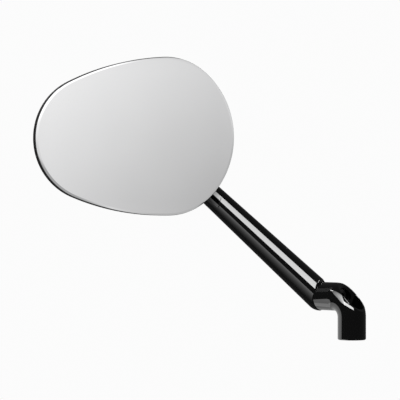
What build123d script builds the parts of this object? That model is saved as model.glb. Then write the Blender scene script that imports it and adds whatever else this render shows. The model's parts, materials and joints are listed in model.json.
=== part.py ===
"""Left-hand motorcycle mirror: an egg-shaped head on a ball joint, a tapered stem and a swivelling elbow.

Millimetres. The origin is the centre of the elbow's foot, +Z up, +X towards the middle of the bike
and +Y ahead, so the rider looks along +Y into the mirror.
"""

import os
from math import acos, asin, atan2, cos, degrees, hypot, radians, sin, sqrt, tan

from build123d import *

# Elbow: an upright leg on the bike's clamp, a bend, and a level leg that carries the stem
FIXING_HOLE = 8.5  # clearance hole for an M8 screw down the upright leg
FIXING_COUNTERBORE = 13.5  # room for that screw's socket head
FIXING_SEAT = 9.0  # from the foot to the seat of that head
LEG_WALL = 1.75  # round the counterbore
LEG_RISE = 13.6  # straight part of the upright leg
LEG_RUN = 11.5  # straight part of the level leg
BEND_RADIUS = 12.0  # along the centreline
LEG_AZIMUTH = 40.0  # degrees that the level leg points ahead of straight out
CORNER_CUT = 3.8  # depth of the flat across the bend's outer corner
FLAT_EDGE = 0.4  # rounding round that flat
END_CHAMFER = 0.5  # at the open end of each leg and on the swivel screw
RIM_BREAK = 0.25  # chamfer round the counterbore's mouth

# Swivel: the stem's foot turns on the end of the level leg
SWIVEL_THREAD = 6.0
SWIVEL_BITE = 6.5  # thread in the stem's foot
SWIVEL_HEAD = 10.0
SWIVEL_HEAD_HEIGHT = 6.0
SWIVEL_KEY = 5.0  # across the flats of its hexagon socket
SWIVEL_KEY_DEPTH = 3.0
SWIVEL_WALL = 8.0  # elbow metal under the screw's head
BUSH_WALL = 0.75  # sleeve between that screw and the elbow
WASHER_THICKNESS = 1.0
SWIVEL_SPRING_THICKNESS = 0.7
SWIVEL_SPRING_RISE = 0.4  # height of its cone
DISC_DIAMETER = 11.6
DISC_THICKNESS = 0.8
DISC_PROUD = 0.3  # what the disc stands out of the elbow's end
SEAL_SECTION = 1.2  # thickness of the rubber ring round the disc

# Stem
STEM_LENGTH = 96.5  # from the swivel's centre to the tip
STEM_TIP = 14.0  # diameter there
FOOT_STEP = 0.4  # what the foot's ball stands out round the elbow's end
STEM_LEAN = 45.0  # degrees between the swivel's axis and the stem
STEM_TURN = 21.4  # degrees that the stem is swivelled back from upright
TIP_CHAMFER = 1.2
FOOT_CHAMFER = 0.4

# Ball joint, along the stem's line
BALL = 10.5
NECK = 5.8
NECK_REACH = 11.0  # stem's tip to the ball's centre
COLLAR_FLATS = 7.0
COLLAR_HEIGHT = 2.0
STUD_WASHER = 9.0  # under the collar
STUD_WASHER_THICKNESS = 0.8
STUD_THREAD = 6.0
STUD_BITE = 9.0  # thread in the stem
HEAD_TILT = 10.0  # degrees of pitch and of yaw to each side
LINER_WALL = 0.9
LINER_MOUTH = 50.0  # degrees from the neck's line to the liner's edge
LINER_SPLIT = 0.8  # width of the slit that lets it over the ball
SEAT_RING_START = 0.6  # ball's centre to the ring
SEAT_RING_HEIGHT = 2.0
SEAT_RING_WALL = 1.3  # outside the socket's sphere
PRELOAD_THICKNESS = 0.4
PRELOAD_RISE = 0.35
PRELOAD_WIDTH = 1.7
GLAND_HEIGHT = 3.0
GLAND_WIDTH = 2.1
GLAND_FLARE = 0.6  # chamfer that clears the tilted neck
GLAND_PROUD = 0.25  # what the gland nut stands out of the housing
GLAND_SLOTS = 4
GLAND_SLOT_WIDTH = 1.4
GLAND_SLOT_DEPTH = 0.9
POD_WALL = 2.0
LOCK_SCREW = 2.0
LOCK_SCREW_KEY = 0.9
LOCK_SCREW_SUNK = 0.3

# Head
HEAD_LENGTH = 124.3
HEAD_WIDTH = 96.0
TIP_RADIUS = 38.0
SHOULDER_RADIUS = 38.0
END_BULGE = 3.4  # what the big end's radius has over half the width
FLANK_RADIUS = 149.0
HEAD_YAW = 18.0  # degrees that the face is turned in towards the rider
HEAD_ROLL = 2.2  # degrees that the big end is raised
BALL_IN_FROM_END = 17.7  # big end to the ball's centre, across the face
BALL_UP_FROM_EDGE = 21.0  # lower edge to the ball's centre
BALL_DEPTH = 25.2  # plate's back to the ball's centre
HOUSING_DEPTH = 10.0
HOUSING_DOME = 700.0  # radius of the domed back
HOUSING_EDGE = 2.0
POD_BLEND = 2.5  # fillet where the pod meets the back
POD_WAIST = 0.5  # what the pod's column is slimmer than its ball end
POD_CHAMFER = 0.6  # round the pod's mouth
SCOOP_REACH = 39.5  # ball's centre to the far end of the hollow that clears the stem
POCKET_RIM = 9.0
POCKET_DEPTH = 4.0
PAD_RIM = 4.0
PAD_THICKNESS = 1.0
PLATE_THICKNESS = 3.4
PLATE_DOME = 1200.0  # radius of the convex face
PLATE_BEVEL = 1.0
DOME_STOCK = 2.0  # extra metal that the domed faces are cut from

# Clearances
THREAD_PLAY = 0.05
RUNNING_PLAY = 0.05
HOLE_PLAY = 0.2
THREAD_RUNOUT = 0.5  # blind holes beyond the screw's end
SCOOP_PLAY = 0.5  # housing round the tilted stem


def turned_plane(origin, axis_dir):
    """Plane for a turned profile: x is the distance from the axis and y the distance along it."""
    radial = axis_dir.cross(Vector(0, 0, 1)).normalized()
    return Plane(origin=origin, x_dir=radial, z_dir=radial.cross(axis_dir))


# Derived places and sizes
up = Vector(0, 0, 1)
leg_dir = Vector(-cos(radians(LEG_AZIMUTH)), sin(radians(LEG_AZIMUTH)), 0)
side_dir = up.cross(leg_dir)
leg_radius = FIXING_COUNTERBORE / 2 + LEG_WALL
leg_height = LEG_RISE + BEND_RADIUS
leg_reach = BEND_RADIUS + LEG_RUN
leg_line = up * leg_height
bend_centre = leg_dir * BEND_RADIUS + up * LEG_RISE
swivel_seat = leg_reach - SWIVEL_WALL
bush_outer = SWIVEL_THREAD / 2 + RUNNING_PLAY + BUSH_WALL
swivel_centre = leg_line + leg_dir * (leg_reach + DISC_PROUD)

turn = radians(STEM_TURN)
lean = radians(STEM_LEAN)
stem_dir = leg_dir * cos(lean) + (up * cos(turn) + side_dir * sin(turn)) * sin(lean)
foot_radius = leg_radius + FOOT_STEP
stem_taper = asin((foot_radius - STEM_TIP / 2) / STEM_LENGTH)
stem_tip = swivel_centre + stem_dir * STEM_LENGTH
ball_centre = stem_tip + stem_dir * NECK_REACH
socket_dir = stem_dir * -1  # out of the socket, towards the stem

liner_inner = BALL / 2 + RUNNING_PLAY
liner_outer = liner_inner + LINER_WALL
socket_radius = liner_outer + RUNNING_PLAY
ring_outer = socket_radius + SEAT_RING_WALL
pod_bore = ring_outer + RUNNING_PLAY
pod_radius = pod_bore + POD_WALL
column_radius = pod_radius - POD_WAIST
ring_end = SEAT_RING_START + SEAT_RING_HEIGHT
preload_start = ring_end + RUNNING_PLAY
preload_end = preload_start + PRELOAD_THICKNESS + PRELOAD_RISE
gland_start = preload_end + RUNNING_PLAY
gland_end = gland_start + GLAND_HEIGHT
pod_mouth = gland_end - GLAND_PROUD

face_dir = Vector(sin(radians(HEAD_YAW)), -cos(radians(HEAD_YAW)), 0)
level_dir = up.cross(face_dir)
egg_dir = level_dir * cos(radians(HEAD_ROLL)) + up * sin(radians(HEAD_ROLL))
rise_dir = face_dir.cross(egg_dir)
ball_across = HEAD_LENGTH / 2 - BALL_IN_FROM_END
ball_up = BALL_UP_FROM_EDGE - HEAD_WIDTH / 2
head_origin = ball_centre - egg_dir * ball_across - rise_dir * ball_up + face_dir * BALL_DEPTH
head_plane = Plane(origin=head_origin, x_dir=egg_dir, z_dir=face_dir)
face_axis = Axis(head_origin, face_dir)
dome_centre = head_origin + face_dir * (HOUSING_DOME - HOUSING_DEPTH)
pod_back_dir = (socket_dir * socket_dir.dot(face_dir) - face_dir).normalized()


# Outline of the head: tip, flank, shoulder and big end as tangent arcs, mirrored about its long axis
end_radius = HEAD_WIDTH / 2 + END_BULGE
shoulder_rise = HEAD_WIDTH / 2 - SHOULDER_RADIUS
tip_x = TIP_RADIUS - HEAD_LENGTH / 2
end_x = HEAD_LENGTH / 2 - end_radius
shoulder_x = end_x + sqrt((end_radius - SHOULDER_RADIUS) ** 2 - shoulder_rise**2)
span = hypot(shoulder_x - tip_x, shoulder_rise)
to_tip = FLANK_RADIUS - TIP_RADIUS
to_shoulder = FLANK_RADIUS - SHOULDER_RADIUS
along = (to_tip**2 - to_shoulder**2 + span**2) / (2 * span)
below = sqrt(to_tip**2 - along**2)
span_x = (shoulder_x - tip_x) / span
span_y = shoulder_rise / span
flank_x = tip_x + along * span_x + below * span_y
flank_y = along * span_y - below * span_x
tip_angle = degrees(atan2(-flank_y, tip_x - flank_x))
flank_angle = degrees(atan2(shoulder_rise - flank_y, shoulder_x - flank_x))
end_angle = degrees(atan2(shoulder_rise, shoulder_x - end_x))

with BuildSketch() as egg:
    with BuildLine():
        CenterArc((end_x, 0), end_radius, 0, end_angle)
        CenterArc((shoulder_x, shoulder_rise), SHOULDER_RADIUS, end_angle, flank_angle - end_angle)
        CenterArc((flank_x, flank_y), FLANK_RADIUS, flank_angle, tip_angle - flank_angle)
        CenterArc((tip_x, 0), TIP_RADIUS, tip_angle, 180 - tip_angle)
        mirror(about=Plane.XZ)
    make_face()


# Elbow: a bent bar with two counterbored holes that meet at the flat on its outer corner
with BuildPart() as elbow:
    with BuildSketch():
        Circle(leg_radius)
    extrude(amount=LEG_RISE)
    upright_end = elbow.faces().sort_by(Axis.Z)[-1]
    revolve(upright_end, axis=Axis(bend_centre, side_dir), revolution_arc=90)
    level_end = elbow.faces().sort_by(Axis(leg_line, leg_dir))[-1]
    extrude(level_end, amount=LEG_RUN)
    corner_dir = (up - leg_dir).normalized()
    flat_distance = BEND_RADIUS + leg_radius - CORNER_CUT
    corner_plane = Plane(origin=bend_centre + corner_dir * flat_distance, z_dir=corner_dir)
    split(bisect_by=corner_plane, keep=Keep.BOTTOM)
    flat = elbow.faces().sort_by(Axis(bend_centre, corner_dir))[-1]
    fillet(flat.edges(), radius=FLAT_EDGE)
    foot_edge = elbow.edges().sort_by(Axis.Z)[0]
    end_edge = elbow.faces().sort_by(Axis(leg_line, leg_dir))[-1].edges()
    chamfer([foot_edge, *end_edge], length=END_CHAMFER)
    elbow_top = leg_height + leg_radius
    with Locations(Plane.XY.offset(elbow_top)):
        CounterBoreHole(FIXING_HOLE / 2, FIXING_COUNTERBORE / 2, elbow_top - FIXING_SEAT, elbow_top)
    rim = elbow.edges().filter_by(GeomType.ELLIPSE)
    chamfer(rim, length=RIM_BREAK)
    with Locations(Plane(origin=leg_line, z_dir=leg_dir * -1)):
        CounterBoreHole(bush_outer + RUNNING_PLAY, SWIVEL_HEAD / 2 + HOLE_PLAY, swivel_seat, leg_reach)
    with Locations(Plane(origin=leg_line + leg_dir * leg_reach, z_dir=leg_dir)):
        Hole(DISC_DIAMETER / 2 + SEAL_SECTION + HOLE_PLAY, depth=DISC_THICKNESS - DISC_PROUD)
elbow.part.label = "elbow"


# Stack on the swivel screw, from the seat in the elbow out to the screw's head
spring_top = swivel_seat - SWIVEL_SPRING_THICKNESS - SWIVEL_SPRING_RISE
washer_top = spring_top - WASHER_THICKNESS
swivel_plane = turned_plane(leg_line, leg_dir)
swivel_axis = Axis(leg_line, leg_dir)

with BuildPart() as swivel_spring:
    with BuildSketch(swivel_plane):
        with BuildLine():
            spring_in = SWIVEL_THREAD / 2 + HOLE_PLAY
            spring_out = SWIVEL_HEAD / 2
            Polyline(
                (spring_in, spring_top),
                (spring_out, spring_top + SWIVEL_SPRING_RISE),
                (spring_out, swivel_seat),
                (spring_in, swivel_seat - SWIVEL_SPRING_RISE),
                close=True,
            )
        make_face()
    revolve(axis=swivel_axis)
swivel_spring.part.label = "swivel_spring"

with BuildPart() as swivel_washer:
    with BuildSketch(Plane(origin=leg_line + leg_dir * washer_top, z_dir=leg_dir)):
        Circle(SWIVEL_HEAD / 2)
        Circle(SWIVEL_THREAD / 2 + HOLE_PLAY, mode=Mode.SUBTRACT)
    extrude(amount=WASHER_THICKNESS)
swivel_washer.part.label = "swivel_washer"

with BuildPart() as swivel_screw:
    with BuildSketch(Plane(origin=leg_line + leg_dir * washer_top, z_dir=leg_dir * -1)):
        Circle(SWIVEL_HEAD / 2)
    extrude(amount=SWIVEL_HEAD_HEIGHT)
    head_face = swivel_screw.faces().sort_by(swivel_axis)[0]
    chamfer(head_face.edges(), length=END_CHAMFER)
    with BuildSketch(swivel_screw.faces().sort_by(swivel_axis)[0]):
        RegularPolygon(SWIVEL_KEY / 2, 6, major_radius=False)
    extrude(amount=-SWIVEL_KEY_DEPTH, mode=Mode.SUBTRACT)
    with BuildSketch(Plane(origin=leg_line + leg_dir * washer_top, z_dir=leg_dir)):
        Circle(SWIVEL_THREAD / 2)
    extrude(amount=leg_reach + DISC_PROUD + SWIVEL_BITE - washer_top)
    thread_end = swivel_screw.faces().sort_by(swivel_axis)[-1]
    chamfer(thread_end.edges(), length=END_CHAMFER)
swivel_screw.part.label = "swivel_screw"

disc_start = leg_reach - DISC_THICKNESS + DISC_PROUD
disc_floor = leg_line + leg_dir * disc_start
with BuildPart() as swivel_bush:
    with BuildSketch(Plane(origin=disc_floor, z_dir=leg_dir * -1)):
        Circle(bush_outer)
        Circle(SWIVEL_THREAD / 2 + RUNNING_PLAY, mode=Mode.SUBTRACT)
    extrude(amount=disc_start - swivel_seat)
swivel_bush.part.label = "swivel_bush"

with BuildPart() as friction_disc:
    with BuildSketch(Plane(origin=disc_floor, z_dir=leg_dir)):
        Circle(DISC_DIAMETER / 2)
        Circle(SWIVEL_THREAD / 2 + HOLE_PLAY, mode=Mode.SUBTRACT)
    extrude(amount=DISC_THICKNESS)
friction_disc.part.label = "friction_disc"

with BuildPart() as swivel_seal:
    with BuildSketch(Plane(origin=disc_floor, z_dir=leg_dir)):
        Circle(DISC_DIAMETER / 2 + SEAL_SECTION)
        Circle(DISC_DIAMETER / 2 + HOLE_PLAY, mode=Mode.SUBTRACT)
    extrude(amount=DISC_THICKNESS - RUNNING_PLAY)
    chamfer(swivel_seal.edges(), length=RIM_BREAK)
swivel_seal.part.label = "swivel_seal"


# Stem: a ball foot, cut flat on the swivel, that runs tangent into a taper
with BuildPart() as stem:
    with BuildSketch(turned_plane(swivel_centre, stem_dir)):
        with BuildLine():
            foot = CenterArc((0, 0), foot_radius, -90, 90 + degrees(stem_taper))
            tip = (STEM_TIP / 2 / cos(stem_taper), STEM_LENGTH)
            Polyline(foot @ 1, tip, (0, STEM_LENGTH), foot @ 0)
        make_face()
    revolve(axis=Axis(swivel_centre, stem_dir))
    split(bisect_by=Plane(origin=swivel_centre, z_dir=leg_dir), keep=Keep.TOP)
    foot_face = stem.faces().sort_by(swivel_axis)[0]
    chamfer(foot_face.edges(), length=FOOT_CHAMFER)
    tip_face = stem.faces().sort_by(Axis(swivel_centre, stem_dir))[-1]
    chamfer(tip_face.edges(), length=TIP_CHAMFER)
    with Locations(Plane(origin=swivel_centre, z_dir=leg_dir * -1)):
        Hole(SWIVEL_THREAD / 2 + THREAD_PLAY, depth=SWIVEL_BITE + THREAD_RUNOUT)
    with Locations(Plane(origin=stem_tip, z_dir=stem_dir)):
        Hole(STUD_THREAD / 2 + THREAD_PLAY, depth=STUD_BITE + THREAD_RUNOUT)
stem.part.label = "stem"


# Ball stud: thread in the stem, spanner collar on a washer, neck and ball
neck_angle = degrees(acos(NECK / BALL))
with BuildPart() as ball_stud:
    with BuildSketch(turned_plane(stem_tip, stem_dir)):
        with BuildLine():
            ball = CenterArc((0, NECK_REACH), BALL / 2, -neck_angle, 90 + neck_angle)
            Polyline(
                ball @ 1,
                (0, -STUD_BITE),
                (STUD_THREAD / 2, -STUD_BITE),
                (STUD_THREAD / 2, STUD_WASHER_THICKNESS),
                (NECK / 2, STUD_WASHER_THICKNESS),
                ball @ 0,
            )
        make_face()
    revolve(axis=Axis(stem_tip, stem_dir))
    with BuildSketch(Plane(origin=stem_tip + stem_dir * STUD_WASHER_THICKNESS, z_dir=stem_dir)):
        RegularPolygon(COLLAR_FLATS / 2, 6, major_radius=False)
    extrude(amount=COLLAR_HEIGHT)
ball_stud.part.label = "ball_stud"

with BuildPart() as stud_washer:
    with BuildSketch(Plane(origin=stem_tip, z_dir=stem_dir)):
        Circle(STUD_WASHER / 2)
        Circle(STUD_THREAD / 2 + HOLE_PLAY, mode=Mode.SUBTRACT)
    extrude(amount=STUD_WASHER_THICKNESS)
stud_washer.part.label = "stud_washer"


# Socket pieces, turned about the ball's line; distances run from the ball's centre out to the mouth
socket_plane = turned_plane(ball_centre, socket_dir)
socket_axis = Axis(ball_centre, socket_dir)

with BuildPart() as ball_liner:
    with BuildSketch(socket_plane):
        with BuildLine():
            mouth_angle = 90 - LINER_MOUTH
            inner = CenterArc((0, 0), liner_inner, -mouth_angle, 2 * mouth_angle)
            outer = CenterArc((0, 0), liner_outer, -mouth_angle, 2 * mouth_angle)
            Line(inner @ 0, outer @ 0)
            Line(inner @ 1, outer @ 1)
        make_face()
    revolve(axis=socket_axis)
    with BuildSketch(socket_plane):
        with Locations((liner_outer, 0)):
            Rectangle(2 * (liner_outer - liner_inner), 2 * liner_outer)
    extrude(amount=LINER_SPLIT / 2, both=True, mode=Mode.SUBTRACT)
ball_liner.part.label = "ball_liner"

with BuildPart() as seat_ring:
    with BuildSketch(socket_plane):
        with Locations((0, SEAT_RING_START)):
            Rectangle(ring_outer, SEAT_RING_HEIGHT, align=(Align.MIN, Align.MIN))
        Circle(socket_radius, mode=Mode.SUBTRACT)
    revolve(axis=socket_axis)
seat_ring.part.label = "seat_ring"

with BuildPart() as preload_spring:
    with BuildSketch(socket_plane):
        with BuildLine():
            preload_in = ring_outer - PRELOAD_WIDTH
            Polyline(
                (preload_in, preload_start + PRELOAD_RISE),
                (ring_outer, preload_start),
                (ring_outer, preload_start + PRELOAD_THICKNESS),
                (preload_in, preload_end),
                close=True,
            )
        make_face()
    revolve(axis=socket_axis)
preload_spring.part.label = "preload_spring"

with BuildPart() as gland_nut:
    with BuildSketch(Plane(origin=ball_centre + socket_dir * gland_start, z_dir=socket_dir)):
        Circle(ring_outer)
        Circle(ring_outer - GLAND_WIDTH, mode=Mode.SUBTRACT)
    extrude(amount=GLAND_HEIGHT)
    gland_face = gland_nut.faces().sort_by(socket_axis)[-1]
    chamfer(gland_face.inner_wires().edges(), length=GLAND_FLARE)
    with BuildSketch(Plane(origin=ball_centre + socket_dir * gland_end, z_dir=socket_dir)):
        with PolarLocations(ring_outer, GLAND_SLOTS, start_angle=180 / GLAND_SLOTS):
            Rectangle(2 * GLAND_WIDTH, GLAND_SLOT_WIDTH)
    extrude(amount=-GLAND_SLOT_DEPTH, mode=Mode.SUBTRACT)
gland_nut.part.label = "gland_nut"

lock_centre = ball_centre + socket_dir * (gland_start + GLAND_HEIGHT / 2)
with BuildPart() as gland_lock_screw:
    lock_length = POD_WALL - LOCK_SCREW_SUNK
    with BuildSketch(Plane(origin=lock_centre + pod_back_dir * pod_bore, z_dir=pod_back_dir)):
        Circle(LOCK_SCREW / 2)
    extrude(amount=lock_length)
    with BuildSketch(gland_lock_screw.faces().sort_by(Axis(lock_centre, pod_back_dir))[-1]):
        RegularPolygon(LOCK_SCREW_KEY / 2, 6, major_radius=False)
    extrude(amount=-lock_length / 2, mode=Mode.SUBTRACT)
gland_lock_screw.part.label = "gland_lock_screw"


# Housing: a domed shell in the head's outline, with a pod on its back for the ball joint.
# Dome and pod column are one profile, turned about the line from the dome's centre to the ball.
blend_reach = column_radius + POD_BLEND
blend_height = sqrt((HOUSING_DOME + POD_BLEND) ** 2 - blend_reach**2)
blend_angle = degrees(acos(blend_reach / (HOUSING_DOME + POD_BLEND)))
dome_edge_angle = degrees(acos(HEAD_LENGTH / HOUSING_DOME))
pod_rise = (ball_centre - dome_centre).length
pod_dir = (ball_centre - dome_centre).normalized()

scoop_tilt = tan(radians(HEAD_TILT) * sqrt(2))
scoop_start_radius = STEM_TIP / 2 + SCOOP_PLAY + pod_mouth * scoop_tilt
scoop_end_radius = STEM_TIP / 2 + SCOOP_PLAY + SCOOP_REACH * (scoop_tilt + sin(stem_taper))

with BuildPart() as head_housing:
    with BuildSketch(turned_plane(dome_centre, pod_dir)):
        with BuildLine():
            dome_arc = CenterArc((0, 0), HOUSING_DOME, dome_edge_angle, blend_angle - dome_edge_angle)
            blend = CenterArc((blend_reach, blend_height), POD_BLEND, 180, blend_angle)
            Polyline(blend @ 0, (column_radius, pod_rise), (0, pod_rise), (0, 0), dome_arc @ 0)
        make_face()
    revolve(axis=Axis(dome_centre, pod_dir))
    with BuildSketch(head_plane):
        add(egg.sketch)
    extrude(amount=-2 * BALL_DEPTH, mode=Mode.INTERSECT)
    dome = head_housing.faces().filter_by(GeomType.SPHERE).sort_by(SortBy.AREA)[-1]
    fillet(dome.outer_wire().edges(), radius=HOUSING_EDGE)
    with BuildSketch(socket_plane):
        with BuildLine():
            ball_end = CenterArc((0, 0), pod_radius, -90, 90)
            Polyline(
                ball_end @ 1,
                (pod_radius, pod_mouth - POD_CHAMFER),
                (pod_radius - POD_CHAMFER, pod_mouth),
                (0, pod_mouth),
                ball_end @ 0,
            )
        make_face()
    revolve(axis=socket_axis)
    with BuildSketch(socket_plane):
        with BuildLine():
            Polyline(
                (0, pod_mouth),
                (scoop_start_radius, pod_mouth),
                (scoop_end_radius, SCOOP_REACH),
                (0, SCOOP_REACH),
                close=True,
            )
        make_face()
    revolve(axis=socket_axis, mode=Mode.SUBTRACT)
    with BuildSketch(socket_plane):
        Circle(socket_radius)
        Rectangle(pod_bore, pod_mouth, align=(Align.MIN, Align.MIN))
        split(bisect_by=Plane.YZ, keep=Keep.TOP)
    revolve(axis=socket_axis, mode=Mode.SUBTRACT)
    with Locations(Plane(origin=lock_centre + pod_back_dir * pod_radius, z_dir=pod_back_dir)):
        Hole(LOCK_SCREW / 2 + THREAD_PLAY, depth=POD_WALL + LOCK_SCREW / 2)
    with BuildSketch(head_plane):
        add(egg.sketch)
        offset(amount=-PAD_RIM)
    extrude(amount=-PAD_THICKNESS, mode=Mode.SUBTRACT)
    with BuildSketch(head_plane):
        add(egg.sketch)
        offset(amount=-POCKET_RIM)
    extrude(amount=-POCKET_DEPTH, mode=Mode.SUBTRACT)
head_housing.part.label = "head_housing"

with BuildPart() as adhesive_pad:
    with BuildSketch(head_plane):
        add(egg.sketch)
        offset(amount=-PAD_RIM - HOLE_PLAY)
    extrude(amount=-PAD_THICKNESS)
adhesive_pad.part.label = "adhesive_pad"


# Reflector: a plate in the head's outline with a convex face and a bevel all round
with BuildPart() as mirror_plate:
    with BuildSketch(head_plane):
        add(egg.sketch)
    extrude(amount=PLATE_THICKNESS + DOME_STOCK)
    with Locations(head_origin + face_dir * (PLATE_THICKNESS - PLATE_DOME)):
        Sphere(PLATE_DOME, mode=Mode.INTERSECT)
    face = mirror_plate.faces().sort_by(face_axis)[-1]
    chamfer(face.edges(), length=PLATE_BEVEL)
mirror_plate.part.label = "mirror_plate"


os.makedirs("parts", exist_ok=True)
pieces = (
    elbow,
    swivel_spring,
    swivel_washer,
    swivel_screw,
    swivel_bush,
    friction_disc,
    swivel_seal,
    stem,
    ball_stud,
    stud_washer,
    ball_liner,
    seat_ring,
    preload_spring,
    gland_nut,
    gland_lock_screw,
    head_housing,
    adhesive_pad,
    mirror_plate,
)
for piece in pieces:
    export_step(piece.part, f"parts/{piece.part.label}.step")
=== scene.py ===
"""Motorcycle mirror: finishes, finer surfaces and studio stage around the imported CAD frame."""

import json
import math

import bpy
import numpy as np
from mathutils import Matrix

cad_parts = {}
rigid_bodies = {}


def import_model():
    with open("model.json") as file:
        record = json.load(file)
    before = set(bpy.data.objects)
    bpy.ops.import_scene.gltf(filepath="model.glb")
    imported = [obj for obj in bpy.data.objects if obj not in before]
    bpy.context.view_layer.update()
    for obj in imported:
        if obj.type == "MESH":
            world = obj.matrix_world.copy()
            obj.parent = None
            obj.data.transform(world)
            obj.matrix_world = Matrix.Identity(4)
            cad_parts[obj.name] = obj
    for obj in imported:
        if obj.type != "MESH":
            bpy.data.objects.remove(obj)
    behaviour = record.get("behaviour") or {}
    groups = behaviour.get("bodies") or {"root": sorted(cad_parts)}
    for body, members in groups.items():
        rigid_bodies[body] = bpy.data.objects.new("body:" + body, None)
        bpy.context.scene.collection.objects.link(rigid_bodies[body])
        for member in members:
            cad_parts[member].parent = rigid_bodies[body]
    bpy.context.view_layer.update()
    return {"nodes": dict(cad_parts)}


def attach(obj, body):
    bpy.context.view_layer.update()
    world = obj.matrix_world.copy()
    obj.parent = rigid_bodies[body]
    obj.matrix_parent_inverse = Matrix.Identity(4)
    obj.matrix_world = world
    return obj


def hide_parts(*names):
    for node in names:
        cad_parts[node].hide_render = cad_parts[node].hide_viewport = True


bl_info = {
    "name": "Motorcycle Mirror Dresser",
    "version": (1, 0, 0),
    "blender": (4, 5, 0),
    "location": "3D View > Sidebar > Mirror",
    "description": "Gives each piece of a ball-jointed motorcycle mirror its finish and sets up the studio",
    "category": "Object",
}

for stray in list(bpy.data.objects):
    bpy.data.objects.remove(stray)
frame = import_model()
NODES = frame["nodes"]
MM = 0.001
UP = np.array([0.0, 0.0, 1.0])
BRIGHT_PIECES = ("ball_stud", "stud_washer", "preload_spring", "swivel_washer", "swivel_spring")
DARK_PIECES = ("gland_nut", "gland_lock_screw", "swivel_screw")
HEAD_ORIGIN = np.array([-0.129732, 0.0049, 0.121647])  # middle of the plate's back
HEAD_YAW = math.radians(18.0)  # turn of the face in towards the rider
HEAD_ROLL = math.radians(2.2)  # rise of the big end
LEG_AZIMUTH = math.radians(40.0)  # how far the level leg points ahead of straight out
STEM_LEAN = math.radians(45.0)  # between the swivel's axis and the stem
STEM_TURN = math.radians(21.4)  # how far the stem is swivelled back from upright
SWIVEL_REACH = 23.8 * MM  # from the upright leg's middle to the stem's foot
SWIVEL_RISE = 25.6 * MM  # from the elbow's foot to the swivel's axis
STEM_CREASE = math.radians(35.0)  # edges of the stem that turn by more stay sharp
LIP_TRIES = 400  # steps in the search for the end of the stem's lip
LIP_LEAST = 0.2  # the lip's least reach beyond the cut, as a share of its rim's rounding
LIP_FLAT = 0.1  # share of the lip's least wall that the rounding leaves flat
FOOT_SPAN = 1.6  # length of the stem's finer rings, as a share of its foot's radius
STEM_MIDDLE = np.array([-0.055, 0.028, 0.065])  # what the stem's soft boxes are aimed at
ELBOW_MIDDLE = np.array([0.0, 0.008, 0.025])  # what the elbow's soft boxes are aimed at
BOX_DISTANCE = 1.2  # from a soft box to what it is aimed at
FILL_DISTANCE = 0.8  # the same for the stem's fill
NEAR_DISTANCE = 0.2  # the same for the elbow's fills
EVEN = (1, 1, 1, 1)  # levels of a soft box that is the same all over
CARD_RADIUS = 1.5  # of the great cards round the head
CARD_GRID = (81, 50)  # their points across and down
FLOOR_SHIFT = 0.04  # from the head's middle to the floor's, towards the elbow
FLOOR_GRID = (24, 97)  # the floor's points from its middle to its rim and round it
SUN_SPREAD = math.radians(40.0)  # angle that a wide light fills
BEHIND_SHARE = 1.3  # strength of the light behind, as a share of the one overhead
RUBBED_BLACK = (0.05, 0.05, 0.052)  # a black coat worn thin along an edge
BROWN_CAST = (0.042, 0.037, 0.034)  # warm patches of black oxide
BARE_STEEL = (0.22, 0.22, 0.22)  # steel where the oxide has rubbed off
FACE_INSET = 0.1  # from the rounding of the plate's edge to the face's last ring, as a share of it
MIX_COLOURS = (6, 7)  # a Mix node's two colour inputs
MIX_RESULT = 2  # its colour output


# Numbers that a user may change

def colour_property(name, description, default):
    """A linear RGB colour with its own picker."""
    return bpy.props.FloatVectorProperty(
        name=name, description=description, default=default, size=3, min=0.0, max=1.0, subtype="COLOR"
    )


def length_property(name, description, default):
    """A length in metres."""
    return bpy.props.FloatProperty(
        name=name, description=description, default=default, min=0.0, unit="LENGTH"
    )


def strength_property(name, description, default):
    """The strength of a light or of something that glows."""
    return bpy.props.FloatProperty(name=name, description=description, default=default, min=0.0)


class MirrorFinishSettings(bpy.types.PropertyGroup):
    """Colours and surface values of the mirror's finishes."""

    gloss_black: colour_property(
        "Gloss black", "Lacquer of the stem and the elbow", (0.0016, 0.0016, 0.0017)
    )
    satin_black: colour_property(
        "Satin black", "Powder coat of the head's housing", (0.020, 0.020, 0.0205)
    )
    reflector: colour_property(
        "Reflector", "Polished face of the mirror plate", (0.90, 0.90, 0.905)
    )
    bright_steel: colour_property(
        "Bright steel", "Turned stud, washers and springs", (0.58, 0.58, 0.575)
    )
    black_oxide: colour_property(
        "Black oxide", "Blackened screws and gland nut", (0.030, 0.030, 0.033)
    )
    bronze: colour_property("Bronze", "Sintered seat ring", (0.50, 0.33, 0.16))
    acetal: colour_property("Acetal", "Moulded sliding plastic", (0.80, 0.79, 0.74))
    rubber: colour_property("Rubber", "Seal round the swivel", (0.018, 0.018, 0.019))
    foam: colour_property("Foam tape", "Pad behind the mirror plate", (0.045, 0.045, 0.048))
    gloss_roughness: bpy.props.FloatProperty(
        name="Gloss roughness", description="Middle roughness of the lacquer",
        default=0.05, min=0.0, max=1.0, subtype="FACTOR",
    )
    coat_roughness: bpy.props.FloatProperty(
        name="Coat roughness", description="Roughness of the clear coat over the lacquer",
        default=0.015, min=0.0, max=1.0, subtype="FACTOR",
    )
    powder_grain: bpy.props.FloatProperty(
        name="Powder grain", description="Size of the powder coat's grain",
        default=0.45 * MM, min=0.05 * MM, max=5 * MM, unit="LENGTH",
    )
    peel_size: bpy.props.FloatProperty(
        name="Orange peel", description="Width of the lacquer's soft ripples",
        default=1.6 * MM, min=0.2 * MM, max=20 * MM, unit="LENGTH",
    )


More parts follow.
